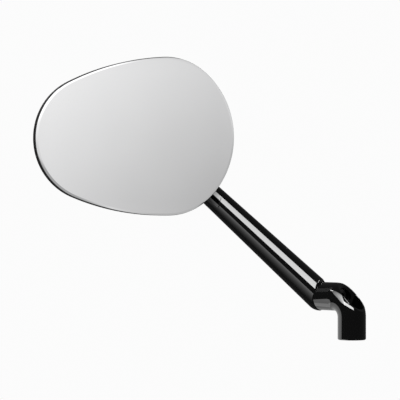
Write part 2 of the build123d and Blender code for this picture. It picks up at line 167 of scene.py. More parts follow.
class MirrorPlateSettings(bpy.types.PropertyGroup):
    """Sizes of the mirror plate's surface."""

    length: length_property("Length", "Plate's length, tip to big end", 124.3 * MM)
    width: length_property("Width", "Plate's width", 96.0 * MM)
    tip_radius: length_property("Tip radius", "Radius of the small end", 38.0 * MM)
    shoulder_radius: length_property("Shoulder radius", "Radius beside the big end", 38.0 * MM)
    end_bulge: length_property("End bulge", "What the big end's radius has over half the width", 3.4 * MM)
    flank_radius: length_property("Flank radius", "Radius of the long sides", 149.0 * MM)
    thickness: length_property("Thickness", "Plate's thickness in the middle", 3.4 * MM)
    dome: length_property("Dome", "Radius of the convex face", 1200.0 * MM)
    bevel_width: length_property("Bevel width", "Width of the ground bevel across the face", 1.3 * MM)
    bevel_drop: length_property("Bevel drop", "How far the bevel falls off", 0.55 * MM)
    edge_round: length_property("Edge rounding", "Rounding between the face and the bevel", 0.16 * MM)
    rim_round: length_property("Rim rounding", "Rounding between the bevel and the plate's wall", 0.6 * MM)
    columns: bpy.props.IntProperty(
        name="Columns", description="Steps round the outline", default=480, min=48, max=1200,
    )


class MirrorStemSettings(bpy.types.PropertyGroup):
    """Sizes of the stem's surface."""

    length: length_property("Length", "From the swivel's centre to the tip", 96.5 * MM)
    tip_radius: length_property("Tip radius", "Radius of the taper at the tip", 7.0 * MM)
    foot_radius: length_property("Foot radius", "Radius of the ball foot", 8.9 * MM)
    tip_chamfer: length_property("Tip chamfer", "Chamfer round the tip", 1.2 * MM)
    rim_round: length_property("Rim rounding", "Rounding round the foot's rim", 0.35 * MM)
    leg_radius: length_property("Leg radius", "Radius of the elbow's level leg", 8.5 * MM)
    lip_play: length_property("Lip play", "Air between the foot's lip and the elbow", 0.12 * MM)
    lip_wall: length_property("Lip wall", "Least wall of the lip", 0.23 * MM)
    thread_radius: length_property("Thread radius", "Radius of the threaded holes", 3.05 * MM)
    stud_depth: length_property("Stud hole", "Depth of the hole in the tip", 9.5 * MM)
    screw_depth: length_property("Screw hole", "Depth of the hole in the foot", 7.0 * MM)
    lip_azimuth: bpy.props.FloatProperty(
        name="Lip azimuth", description="Azimuth of the plane that the foot's rim lies in",
        default=math.radians(24.7), subtype="ANGLE",
    )
    lip_rise: bpy.props.FloatProperty(
        name="Lip rise", description="Rise of the plane that the foot's rim lies in",
        default=math.radians(6.4), subtype="ANGLE",
    )
    columns: bpy.props.IntProperty(
        name="Columns", description="Steps round the stem", default=240, min=48, max=600,
    )


class MirrorStageSettings(bpy.types.PropertyGroup):
    """Camera, floor, backdrop and lamps."""

    camera_place: bpy.props.FloatVectorProperty(
        name="Camera place", description="Where the level camera stands, looking along +Y",
        default=(-0.09108, -1.3, 0.08382), size=3, subtype="TRANSLATION", unit="LENGTH",
    )
    camera_lens: bpy.props.FloatProperty(
        name="Focal length", description="Lens of the camera in millimetres",
        default=195.0, min=1.0, max=1000.0,
    )
    floor_drop: length_property("Floor drop", "How far the floor lies under the elbow's foot", 0.16)
    floor_radius: bpy.props.FloatProperty(
        name="Floor radius", description="Where the floor has faded away",
        default=0.33, min=0.01, unit="LENGTH",
    )
    paper: colour_property("Paper", "Pale floor", (0.92, 0.92, 0.92))
    strip_power: strength_property("Strip", "Radiance of the long strip over the stem", 7.8)
    side_power: strength_property("Side box", "Radiance of the soft boxes at the left", 10.0)
    fill_power: strength_property("Fill", "Radiance of the low fill cards", 1.5)
    card: strength_property("Face card", "Middle radiance of the card that the mirror's face shows", 0.68)
    backdrop: strength_property("Backdrop", "How white the background looks", 0.97)
    overhead_power: strength_property("Overhead", "Strength of the wide overhead light", 3.1)
    rear_power: strength_property("Rear light", "Radiance of the soft light behind the head", 1.6)
    room: strength_property("Room", "Radiance of the dim room all round", 0.05)


# Node helpers

def shade(colour, factor):
    """A colour made darker or lighter by a factor."""
    return tuple(min(1.0, part * factor) for part in colour)


class Shader:
    """A new node material with its principled shader at hand."""

    def __init__(self, name):
        self.material = bpy.data.materials.new(name)
        self.material.use_nodes = True
        self.tree = self.material.node_tree
        self.nodes = self.tree.nodes
        self.bsdf = self.nodes["Principled BSDF"]
        self.coords = self.add("ShaderNodeTexCoord")

    def add(self, kind, **values):
        """Adds a node and sets its plain attributes."""
        node = self.nodes.new(kind)
        for key, value in values.items():
            setattr(node, key, value)
        return node

    def link(self, source, target):
        """Joins an output socket to an input socket."""
        self.tree.links.new(source, target)

    def set(self, **values):
        """Sets constants on the principled shader, with underscores for spaces."""
        for key, value in values.items():
            self.bsdf.inputs[key.replace("_", " ")].default_value = value

    def place(self, scale, turn=(0.0, 0.0, 0.0)):
        """Object coordinates after a stretch and a turn."""
        node = self.add("ShaderNodeMapping")
        node.inputs["Scale"].default_value = scale
        node.inputs["Rotation"].default_value = turn
        self.link(self.coords.outputs["Object"], node.inputs["Vector"])
        return node.outputs["Vector"]

    def noise(self, size, detail, vector=None):
        """Fractal noise whose largest features are about size metres wide."""
        node = self.add("ShaderNodeTexNoise")
        node.inputs["Scale"].default_value = 1.0 / size
        node.inputs["Detail"].default_value = detail
        self.link(vector or self.coords.outputs["Object"], node.inputs["Vector"])
        return node.outputs["Fac"]

    def cells(self, size):
        """Distance inside Voronoi cells about size metres wide."""
        node = self.add("ShaderNodeTexVoronoi")
        node.inputs["Scale"].default_value = 1.0 / size
        self.link(self.coords.outputs["Object"], node.inputs["Vector"])
        return node.outputs["Distance"]

    def span(self, value, low, high, start=0.3, end=0.7):
        """Maps value from start..end to low..high and clamps it."""
        node = self.add("ShaderNodeMapRange", clamp=True)
        node.inputs["From Min"].default_value = start
        node.inputs["From Max"].default_value = end
        node.inputs["To Min"].default_value = low
        node.inputs["To Max"].default_value = high
        self.link(value, node.inputs["Value"])
        return node.outputs["Result"]

    def mix(self, factor, first, second):
        """Mixes two colours, each a tuple or a socket."""
        node = self.add("ShaderNodeMix", data_type="RGBA")
        self.link(factor, node.inputs["Factor"])
        for index, value in zip(MIX_COLOURS, (first, second)):
            if isinstance(value, tuple):
                node.inputs[index].default_value = (*value, 1.0)
            else:
                self.link(value, node.inputs[index])
        return node.outputs[MIX_RESULT]

    def maths(self, operation, first, second):
        """One Math node on two values, each a number or a socket."""
        node = self.add("ShaderNodeMath", operation=operation)
        for index, value in enumerate((first, second)):
            if isinstance(value, (int, float)):
                node.inputs[index].default_value = value
            else:
                self.link(value, node.inputs[index])
        return node.outputs[0]

    def uv(self):
        """Shares across a sheet and down it, from its first corner."""
        split = self.add("ShaderNodeSeparateXYZ")
        self.link(self.coords.outputs["UV"], split.inputs[0])
        return split.outputs["X"], split.outputs["Y"]

    def mottle(self, pattern, colour, low, high):
        """A colour that varies with a pattern between two shades, given as factors."""
        return self.mix(self.span(pattern, 0.0, 1.0), shade(colour, low), shade(colour, high))

    def edges(self, radius):
        """One near sharp edges, nought on open faces: the rounded normal set against the true one."""
        rounded = self.add("ShaderNodeBevel", samples=6)
        rounded.inputs["Radius"].default_value = radius
        plain = self.add("ShaderNodeNewGeometry")
        dot = self.add("ShaderNodeVectorMath", operation="DOT_PRODUCT")
        self.link(rounded.outputs["Normal"], dot.inputs[0])
        self.link(plain.outputs["Normal"], dot.inputs[1])
        return self.span(dot.outputs["Value"], 1.0, 0.0, start=0.90, end=0.995)

    def worn(self, coat, bare, radius, patch, least, share):
        """Base colour of a coat that gives way to a bare colour near sharp edges.

        The wear comes in patches that fade to the least level, and the share is how far the coat gives way.
        """
        patches = self.span(self.noise(patch, detail=5.0), least, 1.0)
        wear = self.maths("MULTIPLY", self.edges(radius), patches)
        self.colour(self.mix(self.maths("MULTIPLY", wear, share), coat, bare))

    def bump(self, height, strength, depth):
        """Bump from a height field."""
        node = self.add("ShaderNodeBump")
        node.inputs["Strength"].default_value = strength
        node.inputs["Distance"].default_value = depth
        self.link(height, node.inputs["Height"])
        self.link(node.outputs["Normal"], self.bsdf.inputs["Normal"])

    def shine(self, strength):
        """Emission of a strength on the front, clear to rays that go on."""
        lamp = self.add("ShaderNodeEmission")
        sides = self.add("ShaderNodeNewGeometry")
        front = self.maths("SUBTRACT", 1.0, sides.outputs["Backfacing"])
        self.link(self.maths("MULTIPLY", strength, front), lamp.inputs["Strength"])
        both = self.add("ShaderNodeAddShader")
        self.link(lamp.outputs[0], both.inputs[0])
        self.link(self.add("ShaderNodeBsdfTransparent").outputs[0], both.inputs[1])
        self.link(both.outputs[0], self.nodes["Material Output"].inputs["Surface"])

    def colour(self, socket):
        """Base colour from a socket."""
        self.link(socket, self.bsdf.inputs["Base Color"])

    def roughness(self, socket):
        """Roughness from a socket."""
        self.link(socket, self.bsdf.inputs["Roughness"])


# Finishes

def gloss_lacquer(name, settings):
    """Deep black lacquer under a clear coat: faint cloudiness, soft orange peel, thinner at the edges."""
    look = Shader(name)
    cloud = look.noise(18 * MM, detail=2.0)
    dark = look.mottle(cloud, settings.gloss_black, low=0.8, high=1.3)
    look.worn(dark, RUBBED_BLACK, radius=0.35 * MM, patch=2.5 * MM, least=0.2, share=0.5)
    fine = look.noise(0.6 * MM, detail=4.0)
    look.roughness(look.span(fine, settings.gloss_roughness * 0.7, settings.gloss_roughness * 1.6))
    look.bump(look.noise(settings.peel_size, detail=1.0), strength=0.02, depth=0.02 * MM)
    look.set(Coat_Weight=1.0, Coat_Roughness=settings.coat_roughness, Coat_IOR=1.5, IOR=1.5)
    return look.material


def powder_coat(name, settings):
    """Satin black powder coat: fine pebbled grain and slow changes of sheen."""
    look = Shader(name)
    cloud = look.noise(26 * MM, detail=3.0)
    dark = look.mottle(cloud, settings.satin_black, low=0.88, high=1.14)
    look.worn(dark, RUBBED_BLACK, radius=0.5 * MM, patch=3 * MM, least=0.0, share=0.5)
    grain = look.noise(settings.powder_grain, detail=2.0)
    look.roughness(look.span(look.noise(9 * MM, detail=4.0), 0.30, 0.46))
    look.bump(grain, strength=0.22, depth=0.05 * MM)
    look.set(IOR=1.5)
    return look.material


def mirror_polish(name, settings):
    """Polished reflector: nearly perfect, with a breath of haze and hairline polishing marks."""
    look = Shader(name)
    haze = look.noise(30 * MM, detail=3.0)
    look.colour(look.mottle(haze, settings.reflector, low=0.985, high=1.0))
    hairs = look.noise(0.5 * MM, detail=2.0, vector=look.place(scale=(1.0, 1.0, 14.0)))
    look.roughness(look.maths("MULTIPLY", look.span(hairs, 0.7, 1.3), look.span(haze, 0.03, 0.055)))
    look.bump(look.noise(14 * MM, detail=1.0), strength=0.01, depth=0.01 * MM)
    look.set(Metallic=1.0)
    return look.material


def turned_steel(name, settings):
    """Bright turned steel: fine tool marks, a little tarnish in patches."""
    look = Shader(name)
    patch = look.noise(4 * MM, detail=4.0)
    look.colour(look.mottle(patch, settings.bright_steel, low=0.82, high=1.1))
    along = look.place(scale=(1.0, 1.0, 6.0), turn=(0.3, 0.5, 0.2))
    marks = look.noise(0.35 * MM, detail=3.0, vector=along)
    look.roughness(look.span(marks, 0.20, 0.38))
    look.bump(marks, strength=0.12, depth=0.02 * MM)
    look.set(Metallic=1.0)
    return look.material


def black_oxide(name, settings):
    """Blackened steel: brownish cast in patches, bright where edges have rubbed."""
    look = Shader(name)
    patch = look.noise(3 * MM, detail=5.0)
    dark = look.mix(look.span(patch, 0.0, 1.0), shade(settings.black_oxide, 0.8), BROWN_CAST)
    look.worn(dark, BARE_STEEL, radius=0.25 * MM, patch=1.2 * MM, least=0.1, share=0.7)
    grain = look.noise(0.3 * MM, detail=3.0)
    look.roughness(look.span(grain, 0.32, 0.52))
    look.bump(grain, strength=0.12, depth=0.02 * MM)
    look.set(Metallic=0.85)
    return look.material


def sintered_bronze(name, settings):
    """Pressed bronze with small open pores."""
    look = Shader(name)
    patch = look.noise(5 * MM, detail=4.0)
    metal = look.mottle(patch, settings.bronze, low=0.78, high=1.12)
    pores = look.span(look.cells(0.4 * MM), 0.0, 1.0, start=0.10, end=0.30)
    look.colour(look.mix(pores, shade(settings.bronze, 0.35), metal))
    look.roughness(look.span(pores, 0.60, 0.34, start=0.0, end=1.0))
    look.bump(pores, strength=0.25, depth=0.03 * MM)
    look.set(Metallic=1.0)
    return look.material


def moulded_acetal(name, settings):
    """Off-white moulded plastic with a spark-eroded grain."""
    look = Shader(name)
    patch = look.noise(6 * MM, detail=3.0)
    look.colour(look.mottle(patch, settings.acetal, low=0.90, high=1.04))
    grain = look.noise(0.25 * MM, detail=3.0)
    look.roughness(look.span(grain, 0.38, 0.58))
    look.bump(grain, strength=0.15, depth=0.02 * MM)
    look.set(IOR=1.48)
    return look.material


def seal_rubber(name, settings):
    """Dull black rubber with a dusting of bloom."""
    look = Shader(name)
    bloom = look.noise(3 * MM, detail=5.0)
    look.colour(look.mottle(bloom, settings.rubber, low=0.8, high=1.9))
    grain = look.noise(0.2 * MM, detail=3.0)
    look.roughness(look.span(grain, 0.60, 0.85))
    look.bump(grain, strength=0.25, depth=0.03 * MM)
    return look.material


def foam_tape(name, settings):
    """Dark closed-cell foam: small open cells on the cut edge."""
    look = Shader(name)
    cells = look.cells(0.35 * MM)
    wall = look.span(cells, 0.0, 1.0, start=0.05, end=0.6)
    look.colour(look.mix(wall, shade(settings.foam, 0.5), shade(settings.foam, 1.5)))
    look.roughness(look.span(look.noise(2 * MM, detail=3.0), 0.82, 0.97))
    look.bump(cells, strength=0.5, depth=0.08 * MM)
    return look.material


FINISHES = {
    "gloss_black": gloss_lacquer,
    "satin_black": powder_coat,
    "reflector": mirror_polish,
    "bright_steel": turned_steel,
    "dark_steel": black_oxide,
    "bronze": sintered_bronze,
    "slide_plastic": moulded_acetal,
    "black_rubber": seal_rubber,
    "foam_tape": foam_tape,
}


def finish_of(slot, settings):
    """The finish of a slot, made once."""
    name = "finish_" + slot
    made = bpy.data.materials.get(name)
    if made is None:
        made = FINISHES[slot](name, settings)
    return made


def dress_nodes(names, slot, settings):
    """Puts a slot's finish on CAD nodes."""
    finish = finish_of(slot, settings)
    for name in names:
        for index in range(len(NODES[name].material_slots)):
            NODES[name].material_slots[index].material = finish


# Surfaces

def outline_arcs(plate):
    """Normal angle, arc centre and arc radius at steps spaced evenly round the head's outline.

    Half of the outline is four tangent arcs: big end, shoulder, flank and tip. A point on an arc is its
    centre plus its radius times the unit vector at the normal angle, and the other half is its mirror image.
    """
    end_radius = plate.width / 2 + plate.end_bulge
    shoulder_y = plate.width / 2 - plate.shoulder_radius
    tip_x = plate.tip_radius - plate.length / 2
    end_x = plate.length / 2 - end_radius
    shoulder_x = end_x + math.sqrt((end_radius - plate.shoulder_radius) ** 2 - shoulder_y**2)
    span = math.hypot(shoulder_x - tip_x, shoulder_y)
    to_tip = plate.flank_radius - plate.tip_radius
    to_shoulder = plate.flank_radius - plate.shoulder_radius
    along = (to_tip**2 - to_shoulder**2 + span**2) / (2 * span)
    below = math.sqrt(to_tip**2 - along**2)
    run_x, run_y = (shoulder_x - tip_x) / span, shoulder_y / span
    flank_x = tip_x + along * run_x + below * run_y
    flank_y = along * run_y - below * run_x
    bounds = np.array([
        0.0,
        math.atan2(shoulder_y, shoulder_x - end_x),
        math.atan2(shoulder_y - flank_y, shoulder_x - flank_x),
        math.atan2(-flank_y, tip_x - flank_x),
        math.pi,
    ])
    radii = np.array([end_radius, plate.shoulder_radius, plate.flank_radius, plate.tip_radius])
    centres = np.array([[end_x, 0.0], [shoulder_x, shoulder_y], [flank_x, flank_y], [tip_x, 0.0]])
    reach = np.concatenate([[0.0], np.cumsum(np.diff(bounds) * radii)])
    steps = (np.arange(plate.columns) + 0.5) * 2 * reach[-1] / plate.columns
    upper = steps < reach[-1]
    folded = np.where(upper, steps, 2 * reach[-1] - steps)
    angle = np.interp(folded, reach, bounds)
    arc = np.clip(np.searchsorted(bounds, angle) - 1, 0, len(radii) - 1)
    sign = np.where(upper, 1.0, -1.0)
    return angle * sign, centres[arc] * np.stack([np.ones_like(sign), sign], axis=-1), radii[arc]


def rounded(first, corner, last, steps):
    """Rings of a quadratic curve from the first ring to the last, drawn towards the corner between them."""
    t = np.linspace(0, 1, steps)[:, None, None]
    return (1 - t) ** 2 * first + 2 * t * (1 - t) * corner + t**2 * last


def plate_rings(plate):
    """Rings of the mirror plate from the middle of its domed face over bevel and wall to its flat back.

    A ring inset by s lies at arc centre + (arc radius - s) * normal. Its height on the face is
    thickness - dome + sqrt(dome^2 - distance^2), with the distance from the plate's middle. Each edge of the
    bevel is rounded by a quadratic curve that starts and ends edge_round, or rim_round, away from it.
    """
    angle, centre, radius = outline_arcs(plate)
    normal = np.stack([np.cos(angle), np.sin(angle)], axis=-1)

    def flat(inset):
        return centre + (radius - inset)[:, None] * normal

    def dome(points):
        square = np.sum(points**2, axis=-1)
        return plate.thickness - plate.dome + np.sqrt(plate.dome**2 - square)

    def ring(inset, height):
        return np.concatenate([flat(inset), height[:, None]], axis=-1)

    same = np.ones_like(angle)
    wide, tight = plate.bevel_width * same, 0.0 * same
    upper = ring(wide, dome(flat(wide)))
    lower = ring(tight, dome(flat(tight)) - plate.bevel_drop)
    slope = lower - upper
    slope = slope / np.linalg.norm(slope, axis=-1, keepdims=True)
    inner = wide + plate.edge_round
    inner_ring = ring(inner, dome(flat(inner)))
    open_face = flat(inner + FACE_INSET * plate.edge_round)
    face = open_face[None] * np.linspace(0.05, 1, num=15)[:, None, None]
    face = np.concatenate([face, dome(face)[..., None]], axis=-1)
    top = lower - np.array([0.0, 0.0, plate.rim_round])
    foot = ring(tight, tight)
    back = foot[None] * np.linspace(0.995, 0.1, num=8)[:, None, None]
    bevel = rounded(inner_ring, upper, upper + slope * plate.edge_round, steps=6)
    rim = rounded(lower - slope * plate.rim_round, lower, top, steps=12)
    wall = top + (foot - top) * np.linspace(0.1, 1, num=4)[:, None, None]
    return np.concatenate([face, bevel, rim, wall, back])


def pointing(azimuth, rise=0.0):
    """Unit vector out from the bike, turned ahead by an azimuth and up by a rise, in radians."""
    return np.array([
        -math.cos(azimuth) * math.cos(rise), math.sin(azimuth) * math.cos(rise), math.sin(rise),
    ])


def stem_frame():
    """Centre of the stem's foot, the stem's axis and the two directions that angles round it count from."""
    leg = pointing(LEG_AZIMUTH)
    back = UP * math.cos(STEM_TURN) + np.cross(UP, leg) * math.sin(STEM_TURN)
    axis = leg * math.cos(STEM_LEAN) + back * math.sin(STEM_LEAN)
    first = leg * math.sin(STEM_LEAN) - back * math.cos(STEM_LEAN)
    return leg * SWIVEL_REACH + UP * SWIVEL_RISE, axis, first, np.cross(axis, first)


def stem_taper(stem):
    """Angle between the stem's axis and its side."""
    return math.asin((stem.foot_radius - stem.tip_radius) / stem.length)


def taper_radius(stem, along):
    """Radius of the stem's taper at a length along its axis."""
    taper = stem_taper(stem)
    return (stem.foot_radius - along * math.sin(taper)) / math.cos(taper)


def over_stem(stem, angle, height, along):
    """Point at a height over the stem's taper, at an angle round it and a length along its axis."""
    centre, axis, first, second = stem_frame()
    away = math.cos(angle) * first + math.sin(angle) * second
    return centre + along * axis + (taper_radius(stem, along) + height) * away


def stem_surface(stem):
    """Rings of the stem, and the two points that close them.

    They go from the bottom of its stud hole over tip, taper and foot to the bottom of its screw hole.
    A point at s along the axis and at an angle round it is
    s * axis + r(s) * (cosine * first + sine * second). The radius r is the taper's,
    (foot - s * sin(taper)) / cos(taper), and the ball's, sqrt(foot^2 - s^2), below the taper's start.
    The foot is cut where the point's share along the swivel's axis is nought. Its rim goes on from there
    to a second plane as a lip, for as long as it stays clear of the elbow's level leg.
    """
    leg = pointing(LEG_AZIMUTH)
    centre, axis, first, second = stem_frame()
    angle = (np.arange(stem.columns) + 0.5) * 2 * np.pi / stem.columns
    around = np.cos(angle)[:, None] * first + np.sin(angle)[:, None] * second
    foot = stem.foot_radius
    taper = stem_taper(stem)

    def skin(s):
        ball = np.sqrt(np.maximum(foot**2 - s**2, 0.0))
        radius = np.where(s > foot * math.sin(taper), taper_radius(stem, s), ball)
        return s[..., None] * axis + radius[..., None] * around

    def split(points):
        share = points @ leg
        away = points - share[..., None] * leg
        return share, away, np.linalg.norm(away, axis=-1)

    slant = math.tan(STEM_LEAN) * np.cos(angle)
    cut_cone = -slant * foot / (math.cos(taper) - slant * math.sin(taper))
    cut = np.where(slant < 0, cut_cone, -foot * slant / np.sqrt(1 + slant**2))
    plane = pointing(stem.lip_azimuth, stem.lip_rise)
    low = np.minimum(-foot * (around @ plane) / (axis @ plane), cut)
    tries = cut + (low - cut) * np.linspace(0, 1, num=LIP_TRIES)[:, None]
    bore = stem.leg_radius + stem.lip_play
    clear = np.logical_and.accumulate(split(skin(tries))[2] >= bore + stem.lip_wall, axis=0)
    end = np.take_along_axis(tries, (clear.sum(axis=0) - 1)[None], axis=0)[0]
    end = np.minimum(end, cut - LIP_LEAST * stem.rim_round)
    middle = FOOT_SPAN * foot
    top = stem.length - stem.tip_chamfer
    same = np.ones_like(angle)
    taper_rings = skin(same * np.linspace(top, middle, num=12)[:, None])
    foot_rings = skin(middle + (end + stem.rim_round - middle) * np.linspace(0, 1, num=40)[1:, None])
    corner = skin(end)
    share, away, reach = split(corner)
    away = away / reach[:, None]
    pull = np.minimum(stem.rim_round, reach - bore - LIP_FLAT * stem.lip_wall)
    rim = rounded(foot_rings[-1], corner, corner - pull[:, None] * away, steps=6)[1:]
    inside = away * bore + np.stack([share[:, None] * leg, 0.0 * away])
    tip_face = around * (stem.tip_radius / math.cos(taper) - stem.tip_chamfer) + axis * stem.length
    stud_ends = np.array([stem.length - stem.stud_depth, stem.length])
    stud = around * stem.thread_radius + axis * stud_ends[:, None, None]
    screw = away * stem.thread_radius + leg * np.array([0.0, stem.screw_depth])[:, None, None]
    rings = np.concatenate([stud, tip_face[None], taper_rings, foot_rings, rim, inside, screw])
    ends = np.stack([axis * stud_ends[0], leg * stem.screw_depth])
    return rings + centre, ends + centre


def head_frame(points):
    """Points on the head, along its length, up its face and out of it, as points of the part's frame."""
    out = np.array([math.sin(HEAD_YAW), -math.cos(HEAD_YAW), 0.0])
    level = np.array([math.cos(HEAD_YAW), math.sin(HEAD_YAW), 0.0])
    length = level * math.cos(HEAD_ROLL) + UP * math.sin(HEAD_ROLL)
    return HEAD_ORIGIN + points @ np.stack([length, np.cross(out, length), out])


def mesh_object(name, points, faces, smooth=True):
    """An object of points and faces in the scene."""
    mesh = bpy.data.meshes.new(name)
    mesh.from_pydata(points.reshape(-1, 3).tolist(), [], faces)
    mesh.polygons.foreach_set("use_smooth", np.full(len(faces), smooth))
    mesh.update()
    made = bpy.data.objects.new(name, mesh)
    bpy.context.scene.collection.objects.link(made)
    return made


def closed_object(name, rings, ends, crease=math.pi):
    """A closed smooth surface: rings joined by quads, with a fan to the point at either end.

    Edges where the faces turn by more than the crease stay sharp.
    """
    rows, columns = rings.shape[:2]
    index = np.arange(rows * columns).reshape(rows, columns)
    after = np.roll(index, -1, axis=1)
    quads = np.stack([index[:-1], index[1:], after[1:], after[:-1]], axis=-1).reshape(-1, 4)
    poles = rows * columns + np.arange(2)
    start = np.stack([np.full(columns, poles[0]), index[0], after[0]], axis=-1)
    finish = np.stack([np.full(columns, poles[1]), after[-1], index[-1]], axis=-1)
    points = np.concatenate([rings.reshape(-1, 3), ends])
    made = mesh_object(name, points, quads.tolist() + start.tolist() + finish.tolist())
    made.data.set_sharp_from_angle(angle=crease)
    return made


def sheet_object(name, points, smooth=True):
    """A grid of points, rows by columns by three, as quads with a 0..1 UV map."""
    rows, columns = points.shape[:2]
    index = np.arange(rows * columns).reshape(rows, columns)
    corners = [index[:-1, :-1], index[:-1, 1:], index[1:, 1:], index[1:, :-1]]
    quads = np.stack(corners, axis=-1).reshape(-1, 4)
    made = mesh_object(name, points, quads.tolist(), smooth)
    across, down = np.meshgrid(np.linspace(0, 1, columns), np.linspace(0, 1, rows))
    flat = np.stack([across, down], axis=-1).reshape(-1, 2)
    layer = made.data.uv_layers.new(name="UVMap")
    layer.data.foreach_set("uv", flat[quads.reshape(-1)].reshape(-1).astype(np.float32))
    return made


# Soft boxes and cards

def heading(azimuth, elevation):
    """Unit vectors for azimuths from the camera's side, right positive, and elevations, in degrees."""
    turn, rise = np.radians(azimuth), np.radians(elevation)
    return np.stack([np.cos(rise) * np.sin(turn), -np.cos(rise) * np.cos(turn), np.sin(rise)], axis=-1)


def bowl_object(name, azimuths, elevations):
    """A piece of a sphere round the head, from one azimuth and elevation to another."""
    columns, rows = CARD_GRID
    turn, rise = np.meshgrid(np.linspace(*azimuths, columns), np.linspace(*elevations, rows))
    return sheet_object(name, HEAD_ORIGIN + CARD_RADIUS * heading(turn, rise))


def glow(name, radiance, levels, bend=1.0):
    """Clear film that shines on its front, with a level for each corner of its sheet.

    The corners are upper left, upper right, lower left and lower right, and bend is the power that bends
    the ramp across.
    """
    look = Shader(name)
    look.nodes.remove(look.bsdf)
    across, down = look.uv()
    ramp = look.maths("POWER", across, bend)
    upper = look.span(ramp, levels[0] * radiance, levels[1] * radiance, start=0.0, end=1.0)
    lower = look.span(ramp, levels[2] * radiance, levels[3] * radiance, start=0.0, end=1.0)
    tone = look.add("ShaderNodeMix", data_type="FLOAT")
    look.link(down, tone.inputs["Factor"])
    look.link(upper, tone.inputs["A"])
    look.link(lower, tone.inputs["B"])
    look.shine(tone.outputs["Result"])
    return look.material


def link_light(lamp, receivers):
    """Keeps the light of a lamp or a glowing sheet to the pieces named."""
    group = bpy.data.collections.new(lamp.name + "_receivers")
    for receiver in receivers:
        group.objects.link(receiver)
    lamp.light_linking.receiver_collection = group


def hang(panel, film, receivers):
    """Puts a glowing film on a sheet and keeps it out of the picture and its light to the receivers."""
    panel.data.materials.append(film)
    panel.visible_camera = False
    panel.visible_diffuse = False
    panel.visible_shadow = False
    link_light(panel, receivers)


def soft_box(name, aim, headings, radiance, levels, receivers, distance=BOX_DISTANCE, bend=1.0):
    """A soft box between four headings from its aim: upper left, upper right, lower left, lower right."""
    corners = aim + distance * heading(*np.transpose(headings))
    panel = sheet_object(name, corners.reshape(2, 2, 3), smooth=False)
    hang(panel, glow("glow_" + name, radiance, levels, bend), receivers)


# Operators

class MIRROR_OT_dress_head(bpy.types.Operator):
    """Give the housing, the mirror plate and the pad between them their finishes"""

    bl_idname = "mirror.dress_head"
    bl_label = "Dress the Head"

    def execute(self, context):
        settings = context.scene.mirror_finish
        dress_nodes(("head_housing",), "satin_black", settings)
        dress_nodes(("adhesive_pad",), "foam_tape", settings)
        plate = context.scene.mirror_plate
        ends = head_frame(np.array([[0.0, 0.0, plate.thickness], [0.0, 0.0, 0.0]]))
        reflector = closed_object("reflector", head_frame(plate_rings(plate)), ends)
        reflector.data.materials.append(finish_of("reflector", settings))
        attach(reflector, "head")
        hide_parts("mirror_plate")
        return {"FINISHED"}


class MIRROR_OT_dress_arm(bpy.types.Operator):
    """Lacquer the stem and the elbow"""

    bl_idname = "mirror.dress_arm"
    bl_label = "Dress the Stem and Elbow"

    def execute(self, context):
        settings = context.scene.mirror_finish
        dress_nodes(("stem", "elbow"), "gloss_black", settings)
        rings, ends = stem_surface(context.scene.mirror_stem)
        shell = closed_object("stem_shell", rings, ends, crease=STEM_CREASE)
        shell.data.materials.append(finish_of("gloss_black", settings))
        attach(shell, "arm")
        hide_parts("stem")
        return {"FINISHED"}


class MIRROR_OT_dress_ball_joint(bpy.types.Operator):
    """Give the ball joint's pieces their finishes"""

    bl_idname = "mirror.dress_ball_joint"
    bl_label = "Dress the Ball Joint"

    def execute(self, context):
        settings = context.scene.mirror_finish
        dress_nodes(("ball_stud", "stud_washer", "preload_spring"), "bright_steel", settings)
        dress_nodes(("gland_nut", "gland_lock_screw"), "dark_steel", settings)
        dress_nodes(("seat_ring",), "bronze", settings)
        dress_nodes(("ball_liner",), "slide_plastic", settings)
        return {"FINISHED"}


class MIRROR_OT_dress_swivel(bpy.types.Operator):
    """Give the swivel's screw, washers and seal their finishes"""

    bl_idname = "mirror.dress_swivel"
    bl_label = "Dress the Swivel"

    def execute(self, context):
        settings = context.scene.mirror_finish
        dress_nodes(("swivel_screw",), "dark_steel", settings)
        dress_nodes(("swivel_washer", "swivel_spring"), "bright_steel", settings)
        dress_nodes(("swivel_bush", "friction_disc"), "slide_plastic", settings)
        dress_nodes(("swivel_seal",), "black_rubber", settings)
        return {"FINISHED"}


